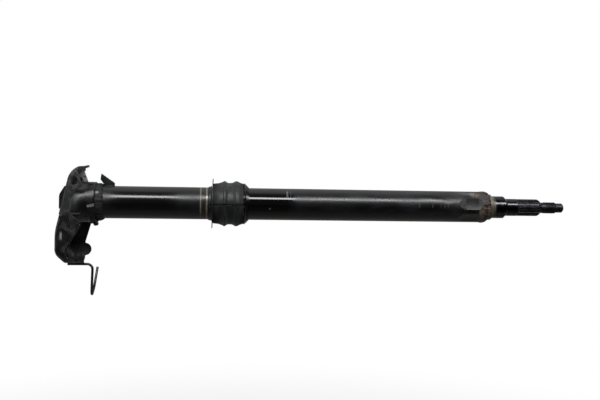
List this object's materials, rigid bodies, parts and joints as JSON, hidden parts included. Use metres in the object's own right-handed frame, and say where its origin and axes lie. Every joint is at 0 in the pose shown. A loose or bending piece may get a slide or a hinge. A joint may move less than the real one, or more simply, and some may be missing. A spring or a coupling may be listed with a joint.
{
  "type": "steering shaft",
  "caption": "Steering shaft of a small off-road vehicle: tube with a pressed handlebar bracket, split rubber steering bush, and a splined, threaded lower end.",
  "frame": {"origin": "on the shaft axis at the middle of the steering bush", "axes": "+X along the shaft from the handlebar bracket to the splined lower end, +Z away from the bracket's foot, +Y across"},
  "size_m": [0.6157, 0.059, 0.1505],
  "materials": {
    "satin_black_paint": "satin black paint, worn",
    "painted_weld": "weld bead under black paint",
    "dark_steel": "machined steel, darkened",
    "rusty_weld": "bare weld, browned",
    "bush_rubber": "matte, dusty",
    "seal_rubber": "satin",
    "washer_plastic": "matte",
    "ring_steel": "dull"
  },
  "bodies": {
    "bush": {"upper_bush_half": "bush_rubber", "lower_bush_half": "bush_rubber", "seal_washer": "washer_plastic", "upper_seal": "seal_rubber", "lower_seal": "seal_rubber", "seal_clip_ring": "ring_steel"},
    "shaft": {"main_tube": "satin_black_paint", "lower_stub": "dark_steel", "stub_weld": "rusty_weld", "bracket_socket": "satin_black_paint", "socket_weld": "painted_weld", "upper_bracket": "satin_black_paint", "lower_bracket": "satin_black_paint", "socket_saddle": "satin_black_paint", "near_bracket_weld": "painted_weld", "far_bracket_weld": "painted_weld", "handlebar_seat": "satin_black_paint", "seat_packing": "satin_black_paint", "holder_nuts": "satin_black_paint", "brace_rod": "satin_black_paint", "cable_guide": "satin_black_paint", "cable_guide_welds": "painted_weld", "saddle_peg": "satin_black_paint", "harness_tab": "satin_black_paint", "harness_tab_welds": "painted_weld"}
  },
  "joints": [
    {"name": "shaft_turn", "type": "hinge", "parent": "bush", "child": "shaft", "pos_m": [0, 0, 0], "axis": [1, 0, 0], "range_deg": [-42, 42]}
  ]
}
